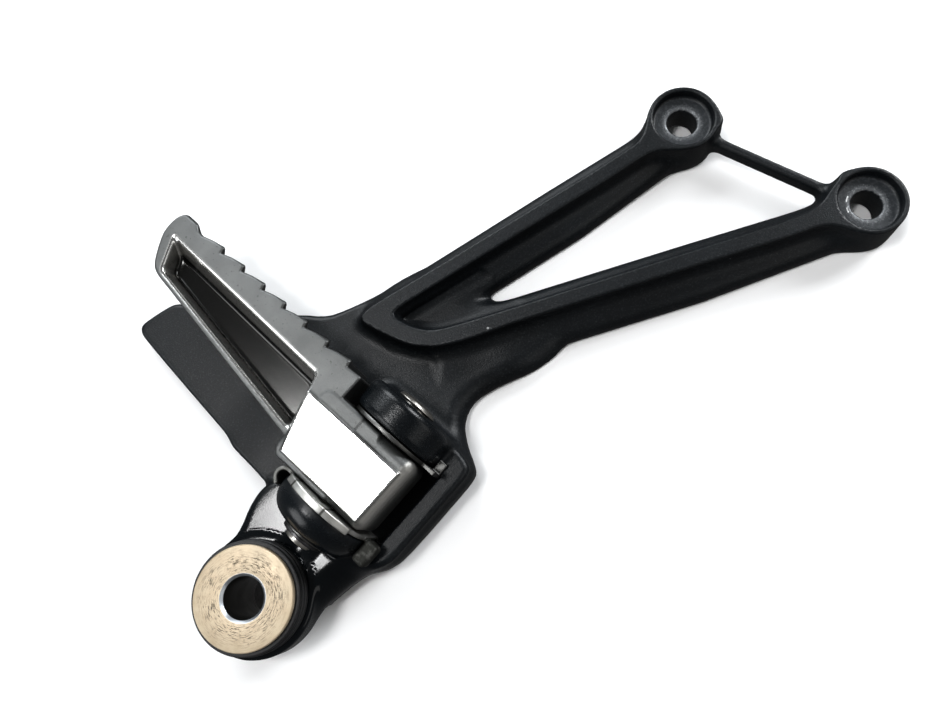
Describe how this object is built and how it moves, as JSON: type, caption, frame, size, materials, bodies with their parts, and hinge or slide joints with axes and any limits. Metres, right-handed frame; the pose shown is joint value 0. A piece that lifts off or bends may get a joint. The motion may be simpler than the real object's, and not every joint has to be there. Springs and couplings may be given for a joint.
{
  "type": "motorcycle footrest hanger",
  "caption": "Cast motorcycle passenger footrest hanger with ribbed mounting arms, a folding saw-tooth footpeg in a clevis, and a rubber-bushed exhaust mount.",
  "frame": {"origin": "axis of the upper bolt hole, on the hanger's back face", "axes": "+X along the hinge pin, up the hanger from the exhaust mount; +Y the way the folded footpeg points, to the rear; +Z outboard from the motorcycle, square to the back face"},
  "size_m": [0.2252, 0.1586, 0.0325],
  "materials": {
    "black_coat": "matte",
    "black_rubber": "matte",
    "yellow_zinc": "satin",
    "bare_aluminium": "satin",
    "pin_steel": "satin",
    "plain_steel": "satin",
    "bright_steel": "satin",
    "spring_steel": "satin",
    "ball_steel": "polished"
  },
  "bodies": {
    "hanger_body": {"hanger": "black_coat", "exhaust_grommet": "black_rubber", "exhaust_collar": "yellow_zinc", "hinge_pin": "pin_steel", "pin_washer": "plain_steel", "pin_clip": "spring_steel", "stopper_plate": "bright_steel", "thrust_plate": "plain_steel"},
    "footpeg_body": {"footpeg": "bare_aluminium", "detent_spring": "spring_steel"},
    "detent": {"detent_ball": "ball_steel"}
  },
  "joints": [
    {"name": "peg_fold", "type": "hinge", "parent": "hanger_body", "child": "footpeg_body", "pos_m": [-0.1415, 0, 0.019], "axis": [1, 0, 0], "range_deg": [0, 90]},
    {"name": "detent_click", "type": "slide", "parent": "footpeg_body", "child": "detent", "axis": [1, 0, 0], "range_m": [-0.00025, 0.0001], "stiffness_N_per_m": 1500}
  ]
}
